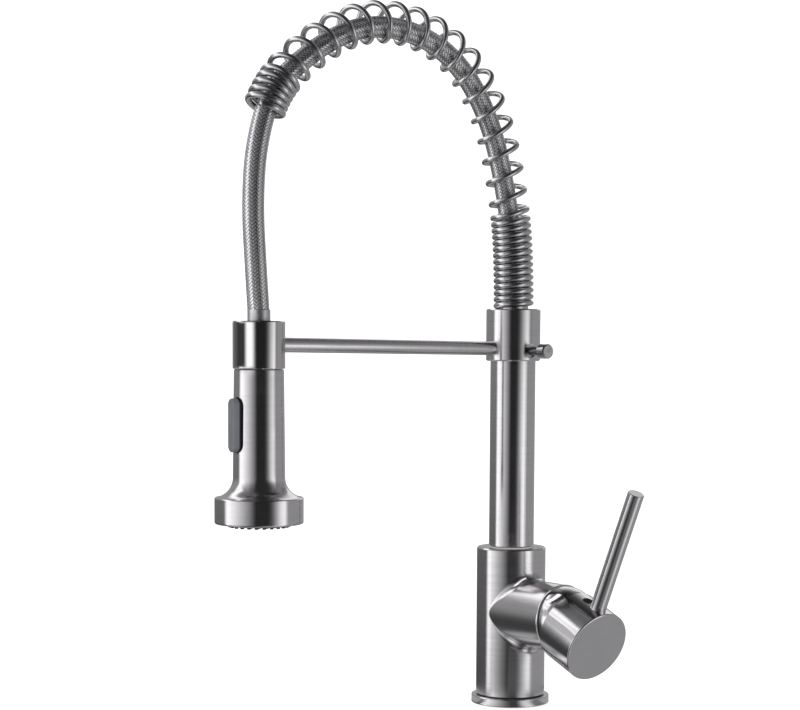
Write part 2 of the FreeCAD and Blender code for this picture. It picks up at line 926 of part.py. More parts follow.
# --------------------------------------------------------------- spray head
head = (0, -reach, 0)
shell_blank = turned(
    "shell_blank",
    [
        (9.0, head_top),
        (9.0, head_top - 4),
        (head_cavity, head_top - 4),
        (head_cavity, 155.0),
        (22.5, 144.5),
        (22.5, face_top),
        (face_rad, face_top),
        (face_rad, rim_low),
        (rim_rad - 1.2, rim_low),
        (rim_rad, rim_low + 1.2),
        (rim_rad, rim_top - 0.5),
        (rim_rad - 0.5, rim_top),
        (head_waist, flare_top),
        (head_rad + 0.45, 186.0),
        (head_rad, head_top - 0.5),
        (head_rad - 0.5, head_top),
    ],
    {8: (1.2, 1), 11: (flare_rad, -1)},
    pos=head,
)


def stadium(name, length, width, back, front):
    """Upright stadium-shaped block on the front of the head, from back to front of its axis."""
    straight = length - width
    bar = box(name + "_bar", width, front - back, straight, (width / -2, -reach - front, button_z - straight / 2))
    ends = []
    for tag, sign in (("up", 1), ("down", -1)):
        ends.append(
            cylinder(name + "_" + tag, width / 2, front - back, (0, -reach - back, button_z + straight / 2 * sign), "-y")
        )
    return fuse(name, [bar] + ends)


pocket = stadium("pocket", button_len + pocket_end * 2, button_wid + pocket_gap * 2, pocket_floor, q(24))
node(cut("head_shell", shell_blank, [pocket]), "head_shell")
# soft frame that closes the gap round the button
seal_blank = stadium("seal_blank", button_len + pocket_end * 2, button_wid + pocket_gap * 2, pocket_floor, seal_front)
seal_hole = stadium("seal_hole", button_len + button_gap * 2, button_wid + button_gap * 2, pocket_floor - 1, seal_front + 1)
node(cut("button_seal", seal_blank, [seal_hole]), "button_seal")
button_blank = stadium("button_blank", button_len, button_wid, button_back, button_front)
ridge = cylinder("ridge", 1.3, button_wid - 2, (button_wid / -2 + 1, -reach - button_back - 0.1, button_z), "x")
button_solid = fuse("button_solid", [button_blank, ridge])
doc.recompute()
front_y = -(reach.value + button_front.value)
rim_ids = [
    i
    for i, edge in enumerate(button_solid.Shape.Edges, 1)
    if all(abs(v.Point.y - front_y) < 1e-6 for v in edge.Vertexes)
]
button = doc.addObject("Part::Fillet", "spray_button")
button.Base = button_solid
button.Edges = [(i, 0.9, 0.9) for i in rim_ids]
node(button, "spray_button")

node(
    turned(
        "head_neck",
        [
            (4.0, head_top - 12),
            (8.9, head_top - 12),
            (8.9, head_top),
            (neck_rad, head_top),
            (neck_rad, neck_top - 3),
            (neck_rad - 3, neck_top),
            (4.0, neck_top),
        ],
        pos=head,
    ),
    "head_neck",
)
node(
    turned(
        "hose_ferrule",
        [
            (4.0, neck_top),
            (ferrule_rad, neck_top),
            (ferrule_rad, ferrule_top - 0.4),
            (ferrule_rad - 0.4, ferrule_top),
            (4.0, ferrule_top),
        ],
        pos=head,
    ),
    "hose_ferrule",
)
node(
    turned(
        "head_valve",
        [
            (3.0, 152.0),
            (9.0, 152.0),
            (9.0, 180.0),
            (7.5, 182.0),
            (7.5, head_top - 12.2),
            (3.0, head_top - 12.2),
        ],
        pos=head,
    ),
    "head_valve",
)

# spray face: a raised disc with two rings of soft nozzles round the aerator
holes, jets = [], []
for tag, ring, count in (("outer", nozzle_ring, 24), ("inner", nozzle_mid, 16)):
    for k in range(count):
        a = 2 * math.pi * (k + 0.5) / count
        at = (ring * math.cos(a), -reach + ring * math.sin(a))
        holes.append(cylinder("hole_%s%d" % (tag, k), nozzle_rad, 8, (at[0], at[1], disc_low - 1)))
        jets.append(
            cone(
                "jet_%s%d" % (tag, k),
                nozzle_rad - 0.4,
                nozzle_rad - 0.02,
                face_top - nozzle_low,
                (at[0], at[1], nozzle_low),
            )
        )
face_blank = turned(
    "face_blank",
    [
        (aerator_rad, disc_low),
        (disc_rad - 0.5, disc_low),
        (disc_rad, disc_low + 0.5),
        (disc_rad, face_low),
        (face_rad - 0.5, face_low),
        (face_rad, face_low + 0.5),
        (face_rad, face_top),
        (aerator_rad, face_top),
    ],
    pos=head,
)
node(cut("face_plate", face_blank, holes), "face_plate")
jet_set = doc.addObject("Part::Compound", "face_nozzles")
jet_set.Links = jets
node(jet_set, "face_nozzles")
aerator_blank = turned(
    "aerator_blank",
    [
        (0, face_low + 1.2),
        (6.6, face_low + 1.2),
        (6.6, face_low - 0.9),
        (aerator_rad - 0.6, face_low - 0.9),
        (aerator_rad, face_low - 0.3),
        (aerator_rad, face_top + 3),
        (0, face_top + 3),
    ],
    pos=head,
)
node(aerator_blank, "aerator")

doc.recompute()

# ---------------------------------------------------------- checks and files
bad = [o.Name for o in doc.Objects if "Invalid" in o.State or "Error" in o.State]
if bad:
    raise RuntimeError("failed objects: %s" % bad)
for o in nodes:
    if o.Shape.isNull() or not o.Shape.isValid() or not o.Shape.Solids:
        raise RuntimeError("bad shape: %s" % o.Label)
os.makedirs("parts", exist_ok=True)
for o in nodes:
    o.Shape.exportStep("parts/%s.step" % o.Label)
    b = o.Shape.BoundBox
    print(
        "%-20s solids %2d volume %10.1f  x %.1f..%.1f y %.1f..%.1f z %.1f..%.1f"
        % (o.Label, len(o.Shape.Solids), o.Shape.Volume, b.XMin, b.XMax, b.YMin, b.YMax, b.ZMin, b.ZMax)
    )
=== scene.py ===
# Kitchen mixer tap with a sprung hose arch: looks, light and camera. Metres.
import math

import bmesh
import bpy
import numpy as np
from mathutils import Matrix, Vector


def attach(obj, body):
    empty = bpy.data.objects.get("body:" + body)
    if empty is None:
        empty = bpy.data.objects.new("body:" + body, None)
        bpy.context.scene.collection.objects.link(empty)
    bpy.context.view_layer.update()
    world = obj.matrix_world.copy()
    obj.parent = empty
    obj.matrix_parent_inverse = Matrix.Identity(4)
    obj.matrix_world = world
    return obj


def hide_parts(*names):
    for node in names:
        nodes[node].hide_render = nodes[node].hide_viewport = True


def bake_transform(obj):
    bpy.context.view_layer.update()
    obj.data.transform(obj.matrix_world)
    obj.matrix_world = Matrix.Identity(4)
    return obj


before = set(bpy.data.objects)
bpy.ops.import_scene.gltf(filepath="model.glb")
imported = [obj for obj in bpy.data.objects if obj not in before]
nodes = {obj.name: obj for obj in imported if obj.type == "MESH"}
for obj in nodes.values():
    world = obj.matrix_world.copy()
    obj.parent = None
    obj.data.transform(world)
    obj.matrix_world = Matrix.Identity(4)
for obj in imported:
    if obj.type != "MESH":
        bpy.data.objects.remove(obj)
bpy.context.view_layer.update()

scene = bpy.context.scene

# ------------------------------------------------------------------- camera
AZ, DOWN, ROLL = math.radians(53.44), math.radians(4.63), math.radians(0.26)
right = Vector((math.cos(AZ), math.sin(AZ), 0.0))
level = Vector((-math.sin(AZ), math.cos(AZ), 0.0))
up = Vector((0.0, 0.0, 1.0))
ahead = level * math.cos(DOWN) - up * math.sin(DOWN)
over = up * math.cos(DOWN) + level * math.sin(DOWN)
side = right * math.cos(ROLL) + over * math.sin(ROLL)
top = over * math.cos(ROLL) - right * math.sin(ROLL)
spot = Vector((1.0269, -0.8543, 0.2511))
cam_data = bpy.data.cameras.new("camera")
cam_data.lens = 90.0
cam_data.sensor_width = 36.0
cam_data.sensor_fit = "HORIZONTAL"
cam_data.shift_x = -0.45 / 800.0
cam_data.shift_y = 134.0 / 800.0
cam_data.clip_start = 0.05
cam_data.clip_end = 50.0
cam = bpy.data.objects.new("camera", cam_data)
scene.collection.objects.link(cam)
cam.matrix_world = Matrix(
    (
        (side.x, top.x, -ahead.x, spot.x),
        (side.y, top.y, -ahead.y, spot.y),
        (side.z, top.z, -ahead.z, spot.z),
        (0, 0, 0, 1),
    )
)
scene.camera = cam


# ------------------------------------------------------------ node shorthand
class Net:
    """A material's node tree with a few shorthands."""

    def __init__(self, name):
        self.mat = bpy.data.materials.new(name)
        self.mat.use_nodes = True
        self.tree = self.mat.node_tree
        self.tree.nodes.clear()
        self.out = self.add("ShaderNodeOutputMaterial")

    def add(self, kind, **props):
        n = self.tree.nodes.new(kind)
        for k, v in props.items():
            setattr(n, k, v)
        return n

    def link(self, a, b):
        self.tree.links.new(a, b)

    def principled(self, **sockets):
        b = self.add("ShaderNodeBsdfPrincipled")
        for k, v in sockets.items():
            b.inputs[k.replace("_", " ")].default_value = v
        self.link(b.outputs["BSDF"], self.out.inputs["Surface"])
        return b

    def coords(self, turn=None, scale=(1, 1, 1), offset=(0, 0, 0)):
        """Object coordinates, moved and turned first and then scaled."""
        tc = self.add("ShaderNodeTexCoord")
        v = tc.outputs["Object"]
        if turn or any(offset):
            m = self.add("ShaderNodeMapping")
            m.inputs["Location"].default_value = offset
            m.inputs["Rotation"].default_value = turn or (0, 0, 0)
            self.link(v, m.inputs["Vector"])
            v = m.outputs["Vector"]
        m = self.add("ShaderNodeMapping")
        m.inputs["Scale"].default_value = scale
        self.link(v, m.inputs["Vector"])
        return m.outputs["Vector"]

    def noise(self, vector, scale=1.0, detail=3.0, rough=0.55):
        n = self.add("ShaderNodeTexNoise")
        n.inputs["Scale"].default_value = scale
        n.inputs["Detail"].default_value = detail
        n.inputs["Roughness"].default_value = rough
        self.link(vector, n.inputs["Vector"])
        return n.outputs["Fac"]

    def ramp(self, fac, stops):
        r = self.add("ShaderNodeValToRGB")
        els = r.color_ramp.elements
        while len(els) < len(stops):
            els.new(0.5)
        for e, (at, c) in zip(els, stops):
            e.position = at
            e.color = (c, c, c, 1) if isinstance(c, (int, float)) else (*c, 1)
        self.link(fac, r.inputs["Fac"])
        return r.outputs["Color"]

    def bump(self, height, strength, distance, bsdf, after=None):
        b = self.add("ShaderNodeBump")
        b.inputs["Strength"].default_value = strength
        b.inputs["Distance"].default_value = distance
        self.link(height, b.inputs["Height"])
        if after is not None:
            self.link(after, b.inputs["Normal"])
        self.link(b.outputs["Normal"], bsdf.inputs["Normal"])
        return b.outputs["Normal"]


def brushed(name, axis, tint, rough, aniso=0.75, turn=None, offset=(0, 0, 0), grain=1.0):
    """Brushed metal whose scratches run round the given axis, 0, 1 or 2."""
    m = Net(name)
    b = m.principled(Metallic=1.0, Anisotropic=aniso)
    fine = [60.0] * 3
    fine[axis] = 5200.0
    coarse = [22.0] * 3
    coarse[axis] = 900.0
    hair = m.noise(m.coords(turn, fine, offset), 1.0, 2.0, 0.6)
    band = m.noise(m.coords(turn, coarse, offset), 1.0, 3.0, 0.5)
    cloud = m.noise(m.coords(turn, (28, 28, 28), offset), 1.0, 2.0, 0.5)
    mix = m.add("ShaderNodeMath", operation="ADD")
    m.link(hair, mix.inputs[0])
    m.link(band, mix.inputs[1])
    lo = [c * (1 - 0.07 * grain) for c in tint]
    hi = [min(1.0, c * (1 + 0.05 * grain)) for c in tint]
    half = m.add("ShaderNodeMath", operation="MULTIPLY")
    half.inputs[1].default_value = 0.5
    m.link(mix.outputs[0], half.inputs[0])
    m.link(m.ramp(half.outputs[0], [(0.32, lo), (0.5, tint), (0.68, hi)]), b.inputs["Base Color"])
    both = m.add("ShaderNodeMath", operation="MULTIPLY_ADD")
    m.link(half.outputs[0], both.inputs[0])
    both.inputs[1].default_value = 0.6
    m.link(cloud, both.inputs[2])
    m.link(
        m.ramp(both.outputs[0], [(0.45, rough * 0.80), (0.80, rough), (1.1, rough * 1.25)]),
        b.inputs["Roughness"],
    )
    # direction round the axis, so that highlights spread along it
    tc = m.coords(turn, (1, 1, 1), offset)
    axis_vec = [0.0, 0.0, 0.0]
    axis_vec[axis] = 1.0
    along = m.add("ShaderNodeCombineXYZ")
    for i in range(3):
        along.inputs[i].default_value = axis_vec[i]
    v = along.outputs[0]
    if turn:
        back = m.add("ShaderNodeVectorRotate", rotation_type="EULER_XYZ", invert=True)
        back.inputs["Rotation"].default_value = turn
        m.link(v, back.inputs["Vector"])
        v = back.outputs["Vector"]
    world = m.add("ShaderNodeVectorTransform", vector_type="VECTOR", convert_from="OBJECT", convert_to="WORLD")
    m.link(v, world.inputs["Vector"])
    m.link(world.outputs["Vector"], b.inputs["Tangent"])
    m.bump(hair, 0.05 * grain, 0.0004, b)
    return m.mat


def plain(name, tint, rough, metallic=0.0, scale=900.0, depth=0.12, vary=0.08, **sockets):
    """Moulded or cast surface: fine grain, slow colour drift, roughness variation."""
    m = Net(name)
    b = m.principled(Metallic=metallic, **sockets)
    grain = m.noise(m.coords(scale=(scale, scale, scale)), 1.0, 4.0, 0.6)
    drift = m.noise(m.coords(scale=(70, 70, 70)), 1.0, 2.0, 0.5)
    lo = [c * (1 - vary) for c in tint]
    hi = [min(1.0, c * (1 + vary)) for c in tint]
    m.link(m.ramp(drift, [(0.3, lo), (0.7, hi)]), b.inputs["Base Color"])
    m.link(m.ramp(grain, [(0.3, rough * 0.85), (0.7, min(1.0, rough * 1.15))]), b.inputs["Roughness"])
    m.bump(grain, depth, 0.0003, b)
    return m.mat


NICKEL = (0.655, 0.640, 0.658)
TILT = (0.0, -math.radians(21.7), 0.0)
ROD_TILT = (0.0, -math.radians(24.0), 0.0)
mat_upright = brushed("nickel_upright", 2, NICKEL, 0.15)
mat_side = brushed("nickel_side", 0, NICKEL, 0.17)
mat_arm = brushed("nickel_arm", 1, NICKEL, 0.16)
mat_cap = brushed("nickel_cap", 0, NICKEL, 0.11, turn=TILT, grain=0.6)
mat_rod = brushed("nickel_rod", 2, NICKEL, 0.16, turn=ROD_TILT)
mat_dock = brushed("nickel_dock", 2, (0.66, 0.645, 0.655), 0.08, aniso=0.3, grain=0.4)
mat_dome = plain("nickel_polished", (0.74, 0.73, 0.72), 0.05, 1.0, scale=160.0, depth=0.01, vary=0.03)
mat_ball = brushed("nickel_ball", 0, NICKEL, 0.11, aniso=0.4, grain=0.5)
mat_crimp = plain("steel_crimped", (0.64, 0.63, 0.65), 0.38, 1.0, scale=700.0, depth=0.35, vary=0.14)
# painted shade: the clamp screw's steel is coloured near black for the shadow its neck lies in under the knob
mat_screw_shaded = plain("steel_dark_shaded", (0.22, 0.22, 0.23), 0.28, 1.0, scale=1200.0, depth=0.06)
mat_steel = plain("steel_plain", (0.60, 0.59, 0.58), 0.22, 1.0, scale=1200.0, depth=0.04)
mat_brass = plain("brass_turned", (0.72, 0.56, 0.28), 0.28, 1.0, scale=800.0, depth=0.05)
mat_rubber = plain("rubber_black", (0.025, 0.025, 0.026), 0.62, 0.0, scale=1500.0, depth=0.15)
mat_dark = plain("plastic_dark", (0.045, 0.045, 0.048), 0.42, 0.0, scale=1300.0, depth=0.10)
mat_nylon = plain("plastic_nylon", (0.78, 0.77, 0.73), 0.5, 0.0, scale=900.0, depth=0.08)
mat_spring = plain("spring_wire", (0.625, 0.615, 0.635), 0.17, 1.0, scale=2200.0, depth=0.05, vary=0.06)
mat_braid = plain("hose_braid_wire", (0.97, 0.965, 0.995), 0.33, 1.0, scale=2600.0, depth=0.10, vary=0.10)
# painted shade: the counter-wound strands are the same steel wire, coloured darker to stand in for shade among the
# woven strands
mat_braid_shaded = plain("hose_braid_counter_shaded", (0.36, 0.355, 0.385), 0.33, 1.0, scale=2600.0, depth=0.10, vary=0.10)
mat_core = plain("hose_core", (0.05, 0.05, 0.05), 0.6, 0.0, scale=1200.0)



def pad_over_painted_shade(name, pad, gap_shade, rough, back):
    """Grey pad whose flanks, from a little behind the button's front, are painted dark: painted shade of the gap round
    the button.
    """
    m = Net(name)
    b = m.principled(Metallic=0.0, Roughness=rough)
    grain = m.noise(m.coords(scale=(1600, 1600, 1600)), 1.0, 4.0, 0.6)
    drift = m.noise(m.coords(scale=(90, 90, 90)), 1.0, 2.0, 0.5)
    lo = [c * 0.94 for c in pad]
    hi = [c * 1.06 for c in pad]
    split = m.add("ShaderNodeSeparateXYZ")
    m.link(m.coords(scale=(1, 1, 1)), split.inputs[0])
    behind = m.add("ShaderNodeMapRange", interpolation_type="SMOOTHSTEP")
    for k, v in (("From Min", back[0]), ("From Max", back[1]), ("To Min", 0.0), ("To Max", 1.0)):
        behind.inputs[k].default_value = v
    m.link(split.outputs["Y"], behind.inputs["Value"])
    # painted shade: towards the back the grey turns near black, standing in for the shadow in the gap round the button
    mixer = m.add("ShaderNodeMix", data_type="RGBA")
    m.link(behind.outputs["Result"], mixer.inputs["Factor"])
    m.link(m.ramp(drift, [(0.3, lo), (0.7, hi)]), mixer.inputs["A"])
    mixer.inputs["B"].default_value = (*gap_shade, 1)
    m.link(mixer.outputs["Result"], b.inputs["Base Color"])
    m.bump(grain, 0.08, 0.0003, b)
    return m.mat


# spray button: grey front, flanks painted dark as painted shade of the gap
mat_button = pad_over_painted_shade("plastic_button", (0.130, 0.133, 0.148), (0.010, 0.010, 0.011), 0.40, (-0.2168, -0.2158))

FINISH = {
    "base_ring": mat_upright, "body_shell": mat_upright, "column": mat_upright, "collar": mat_upright,
    "head_shell": mat_upright, "dock_ring": mat_dock, "arm": mat_arm, "lever_cap": mat_cap, "lever_rod": mat_rod,
    # button_seal: black rubber ring in the gap round the spray button; its black also stands in for the gap's shade, as
    # painted shade
    "clamp_knob": mat_side, "clamp_screw": mat_screw_shaded, "bonnet_dome": mat_ball, "aerator": mat_dome, "button_seal": mat_rubber,
    "hose_ferrule": mat_crimp, "lever_pivot_pin": mat_steel, "mounting_shank": mat_brass, "cartridge_nut": mat_brass,
    "lever_stem": mat_brass, "hose_nipple": mat_steel, "base_gasket": mat_rubber, "body_seal_ring": mat_rubber,
    "cartridge_base_seal": mat_rubber, "spigot_orings": mat_rubber, "face_nozzles": mat_rubber, "cap_plug": mat_rubber,
    "face_plate": mat_dark, "head_neck": mat_dark, "dock_liner": mat_dark, "spray_button": mat_button,
    "swivel_bearing": mat_nylon, "cartridge_housing": mat_nylon, "cartridge_rotor": mat_nylon, "head_valve": mat_nylon,
}
for name, mat in FINISH.items():
    for s in nodes[name].material_slots:
        s.material = mat


def shaded_top(mat, top, deep, shade):
    """Paints shade into a material: darker towards the upper edge of its piece."""
    tree = mat.node_tree
    b = next(n for n in tree.nodes if n.type == "BSDF_PRINCIPLED")
    colour = b.inputs["Base Color"].links[0].from_socket
    tc = tree.nodes.new("ShaderNodeTexCoord")
    split = tree.nodes.new("ShaderNodeSeparateXYZ")
    tree.links.new(tc.outputs["Object"], split.inputs[0])
    near = tree.nodes.new("ShaderNodeMapRange")
    for k, v in (("From Min", top - deep), ("From Max", top), ("To Min", 1.0), ("To Max", shade)):
        near.inputs[k].default_value = v
    tree.links.new(split.outputs["Z"], near.inputs["Value"])
    mul = tree.nodes.new("ShaderNodeVectorMath")
    mul.operation = "SCALE"
    tree.links.new(colour, mul.inputs[0])
    tree.links.new(near.outputs["Result"], mul.inputs["Scale"])
    tree.links.new(mul.outputs["Vector"], b.inputs["Base Color"])


# painted shade: the ferrule darkens to its top edge, where the hose goes into it
shaded_top(mat_crimp, max(c[2] for c in nodes["hose_ferrule"].bound_box), 0.0005, 0.35)

# ------------------------------------------------- hose route and the spring
# corner points of the route: (distance from the column, height), millimetres
ROUTE = [
    (0.0, 272.0), (0.0, 302.0), (7.0, 347.0), (18.8, 388.0), (44.0, 423.2), (80.0, 441.1), (121.4, 441.6),
    (158.3, 424.3), (191.9, 395.0), (202.5, 360.0), (204.5, 324.0), (202.4, 290.0), (200.4, 262.0),
]
# inside the coil the hose lies against the inner side of the bend
HOSE = [
    (0.0, 272.0), (0.6, 302.0), (8.8, 346.6), (21.6, 386.7), (46.2, 420.4), (80.8, 437.4), (121.0, 438.7),
    (157.3, 422.3), (190.8, 394.3), (202.0, 359.9), (204.5, 324.0), (202.4, 290.0), (200.3, 260.9),
]


def smooth_line(pts, count):
    """Points evenly spaced along the NURBS spline that has pts as its control points."""
    cu = bpy.data.curves.new("route", "CURVE")
    cu.dimensions = "3D"
    sp = cu.splines.new("NURBS")
    sp.points.add(len(pts) - 1)
    for p, (a, z) in zip(sp.points, pts):
        p.co = (0.0, -a / 1000.0, z / 1000.0, 1.0)
    sp.order_u = 3
    sp.use_endpoint_u = True
    sp.resolution_u = 40
    o = bpy.data.objects.new("route", cu)
    scene.collection.objects.link(o)
    bpy.context.view_layer.update()
    me = bpy.data.meshes.new_from_object(o.evaluated_get(bpy.context.evaluated_depsgraph_get()))
    line = np.array([v.co[:] for v in me.vertices], float)
    bpy.data.objects.remove(o)
    bpy.data.curves.remove(cu)
    bpy.data.meshes.remove(me)
    step = np.r_[0, np.cumsum(np.linalg.norm(np.diff(line, axis=0), axis=1))]
    at = np.linspace(0, step[-1], count)
    return np.stack([np.interp(at, step, line[:, i]) for i in range(3)], 1), step[-1]


def line_frame(line):
    """Tangent and the two directions across it; the line lies in the plane x = 0."""
    t = np.gradient(line, axis=0)
    t /= np.linalg.norm(t, axis=1)[:, None]
    e1 = np.tile([1.0, 0.0, 0.0], (len(line), 1))
    e2 = np.cross(t, e1)
    return t, e1, e2


def swept(centre, radius, sides, verts, faces, shape=None):
    """Adds a round tube along the centre points to verts and faces, closed at both ends."""
    t = np.gradient(centre, axis=0)
    t /= np.linalg.norm(t, axis=1)[:, None]
    n = np.cross(t[0], [0.3, 0.5, 0.8])
    n /= np.linalg.norm(n)
    first = len(verts)
    for i, (c, d) in enumerate(zip(centre, t)):
        n = n - d * (n @ d)
        n /= np.linalg.norm(n)
        b = np.cross(d, n)
        rr = radius if shape is None else radius * shape[i]
        for k in range(sides):
            a = 2 * math.pi * k / sides
            verts.append(c + rr * (math.cos(a) * n + math.sin(a) * b))
    for i in range(len(centre) - 1):
        for k in range(sides):
            p, q = first + i * sides + k, first + i * sides + (k + 1) % sides
            faces.append((p, q, q + sides, p + sides))
    last = first + (len(centre) - 1) * sides
    faces.append(tuple(first + k for k in reversed(range(sides))))
    faces.append(tuple(last + k for k in range(sides)))


def mesh_object(name, verts, faces, mats, index=None, sharp_ends=True):
    me = bpy.data.meshes.new(name)
    me.from_pydata([tuple(v) for v in verts], [], faces)
    for m in mats:
        me.materials.append(m)
    if index is not None:
        me.polygons.foreach_set("material_index", index)
    me.polygons.foreach_set("use_smooth", [len(p.vertices) == 4 for p in me.polygons])
    me.update()
    o = bpy.data.objects.new(name, me)
    scene.collection.objects.link(o)
    return o


# coil: close turns on the column, open turns over the arch, close turns at its end
coil_line, coil_whole = smooth_line([(0.0, 265.3)] + ROUTE[1:], 6000)
coil_at = np.linspace(0, coil_whole, 6000)
WIRE = 0.0018
TURN_R = 0.0134 - WIRE
# winding: (millimetres along the coil, distance between turns)
WINDING = [
    (0.0, 4.20), (57.0, 4.18), (65.0, 11.0), (72.0, 14.5), (108.0, 14.5), (128.0, 15.5), (180.0, 14.95),
    (315.5, 14.9), (322.0, 6.5), (325.0, 4.4), (360.0, 4.4),
]
FIRST, LAID, END = math.radians(192.0), math.radians(218.0), 0.3458


def pitch(s):
    """Distance between turns at a length s along the coil."""
    return np.interp(s * 1000.0, [w[0] for w in WINDING], [w[1] for w in WINDING]) / 1000.0


# the first bit of wire lies flat on the collar
turns = list(np.arange(FIRST, LAID, 2 * math.pi / 40.0))
ss = [0.0] * len(turns)
s, turn = 0.0, LAID
while s <= END:
    ss.append(s)
    turns.append(turn)
    s += pitch(s) / 40.0
    turn += 2 * math.pi / 40.0
ss, turns = np.array(ss), np.array(turns)
t, e1, e2 = line_frame(coil_line)
pick = lambda arr: np.stack([np.interp(ss, coil_at, arr[:, i]) for i in range(3)], 1)
centre, a1, a2 = pick(coil_line), pick(e1), pick(e2)
# the close turns are pressed a little flatter and all but touch
fat = np.interp(pitch(ss), [0.0044, 0.0080], [1.10, 1.0])
turn_r = TURN_R - WIRE * (fat - 1.0)
wire = centre + turn_r[:, None] * (np.cos(turns)[:, None] * a1 + np.sin(turns)[:, None] * a2)
verts, faces = [], []
swept(wire, WIRE, 14, verts, faces, fat)
spring = mesh_object("spring_coil", verts, faces, [mat_spring])
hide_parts("spring")
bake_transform(spring)

# hose: dark core under a woven wire braid
count = 900
hose_line, hose_len = smooth_line(HOSE, count)
t, e1, e2 = line_frame(hose_line)
HOSE_R = 0.0069
verts, faces, index = [], [], []
swept(hose_line, HOSE_R - 0.00055, 32, verts, faces)
index += [1] * len(faces)
hose_at = np.linspace(0, hose_len, count)
STRANDS, LAY = 20, 0.044
per = 60
steps = int(hose_len / LAY * per)
along = np.linspace(0, hose_len, steps)
cen = np.stack([np.interp(along, hose_at, hose_line[:, i]) for i in range(3)], 1)
c1 = np.stack([np.interp(along, hose_at, e1[:, i]) for i in range(3)], 1)
c2 = np.stack([np.interp(along, hose_at, e2[:, i]) for i in range(3)], 1)
omega = 2 * math.pi / LAY
LIFT = 0.00008
wide = 2 * math.pi / STRANDS * 0.34
for way in (1, -1):
    for k in range(STRANDS):
        theta = way * omega * along + 2 * math.pi * k / STRANDS
        other = STRANDS * (theta + way * omega * along) / (2 * math.pi)
        wave = way * LIFT * math.sqrt(2) * np.cos(math.pi / 2 * (other + k) + math.pi / 4)
        first = len(verts)
        for side, drop in ((-1.0, 0.00011), (-0.5, 0.00003), (0.0, 0.0), (0.5, 0.00003), (1.0, 0.00011)):
            th = theta + side * wide * (1.15 if way > 0 else 1.0)
            rad = HOSE_R - 0.00028 + wave - drop
            ring = cen + rad[:, None] * (np.cos(th)[:, None] * c1 + np.sin(th)[:, None] * c2)
            verts.extend(ring)
        for j in range(4):
            for i in range(steps - 1):
                p = first + j * steps + i
                q = p + steps
                quad = (p, p + 1, q + 1, q)
                faces.append(quad if way * 1 > 0 else quad)
                # strands wound one way get the bright wire, the other way its darker copy: painted shade
                index.append(0 if way > 0 else 2)
hose = mesh_object("hose_braided", verts, faces, [mat_braid, mat_core, mat_braid_shaded], index)
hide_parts("hose")
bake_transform(hose)

# thin polished lip round the end of the side branch
LIP = [(51.6, 22.44), (52.0, 22.66), (52.4, 22.72), (53.2, 22.50), (53.62, 22.16), (53.55, 21.6)]
verts, faces = [], []
around = 128
for x, r in LIP:
    for k in range(around):
        a = 2 * math.pi * k / around
        verts.append((x / 1000.0, r / 1000.0 * math.cos(a), 0.062 + r / 1000.0 * math.sin(a)))
for i in range(len(LIP) - 1):
    for k in range(around):
        p, q = i * around + k, i * around + (k + 1) % around
        faces.append((p, q, q + around, p + around))
lip = mesh_object("branch_lip", verts, faces, [mat_ball])
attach(lip, "fixed_body")

# --------------------------------------------------------------- light, floor
# floor: a pale sheet that rolls up behind the tap
verts, faces = [], []
reach = 6.0
profile = [(-3.0, 0.0), (2.2, 0.0)]
profile += [(2.2 + 1.2 * math.sin(a), 1.2 - 1.2 * math.cos(a)) for a in np.linspace(0.1, math.pi / 2, 14)]
profile += [(3.4, 5.0)]
for d, z in profile:
    for w in (-reach, reach):
        p = level * d + right * w
        verts.append((p.x, p.y, z))
for i in range(len(profile) - 1):
    faces.append((2 * i, 2 * i + 1, 2 * i + 3, 2 * i + 2))
fm = Net("floor_pale")
fb = fm.principled(Roughness=0.9)
tone = fm.noise(fm.coords(scale=(3, 3, 3)), 1.0, 2.0)
fm.link(fm.ramp(tone, [(0.3, 0.49), (0.7, 0.51)]), fb.inputs["Base Color"])
fb.inputs["Emission Color"].default_value = (1, 1, 1, 1)
fb.inputs["Emission Strength"].default_value = 0.70
fb.inputs["Specular IOR Level"].default_value = 0.1
floor = mesh_object("floor", verts, faces, [fm.mat])
floor.visible_glossy = False

# reflection cards: grey walls, soft boxes and a dark flag round the tap
def ease(a, b, v):
    f = min(max((v - a) / (b - a), 0.0), 1.0)
    return f * f * (3 - 2 * f)


def mix(a, b, f):
    return a + (b - a) * f


def card(name, around, rows, place, tone):
    """Curved card: place(deg, row) gives its points, tone(deg, row) how bright they are."""
    verts = [place(d, r) for d in around for r in rows]
    tones = [tone(d, r) for d in around for r in rows]
    n = len(rows)
    faces = [
        (i * n + k, i * n + k + 1, (i + 1) * n + k + 1, (i + 1) * n + k)
        for i in range(len(around) - 1)
        for k in range(n - 1)
    ]
    o = mesh_object(name, verts, faces, [card_mat])
    o.data.attributes.new("tone", "FLOAT", "POINT").data.foreach_set("value", tones)
    o.visible_camera = False
    o.visible_diffuse = False
    o.visible_shadow = False
    o.visible_transmission = False
    o.visible_volume_scatter = False
    return o


km = Net("reflection_cards")
em = km.add("ShaderNodeEmission")
at = km.add("ShaderNodeAttribute", attribute_name="tone")
km.link(at.outputs["Fac"], em.inputs["Strength"])
km.link(em.outputs["Emission"], km.out.inputs["Surface"])
card_mat = km.mat
MID = 0.15


def between(a, b, soft, v):
    return ease(a - soft, a + soft, v) * (1 - ease(b - soft, b + soft, v))


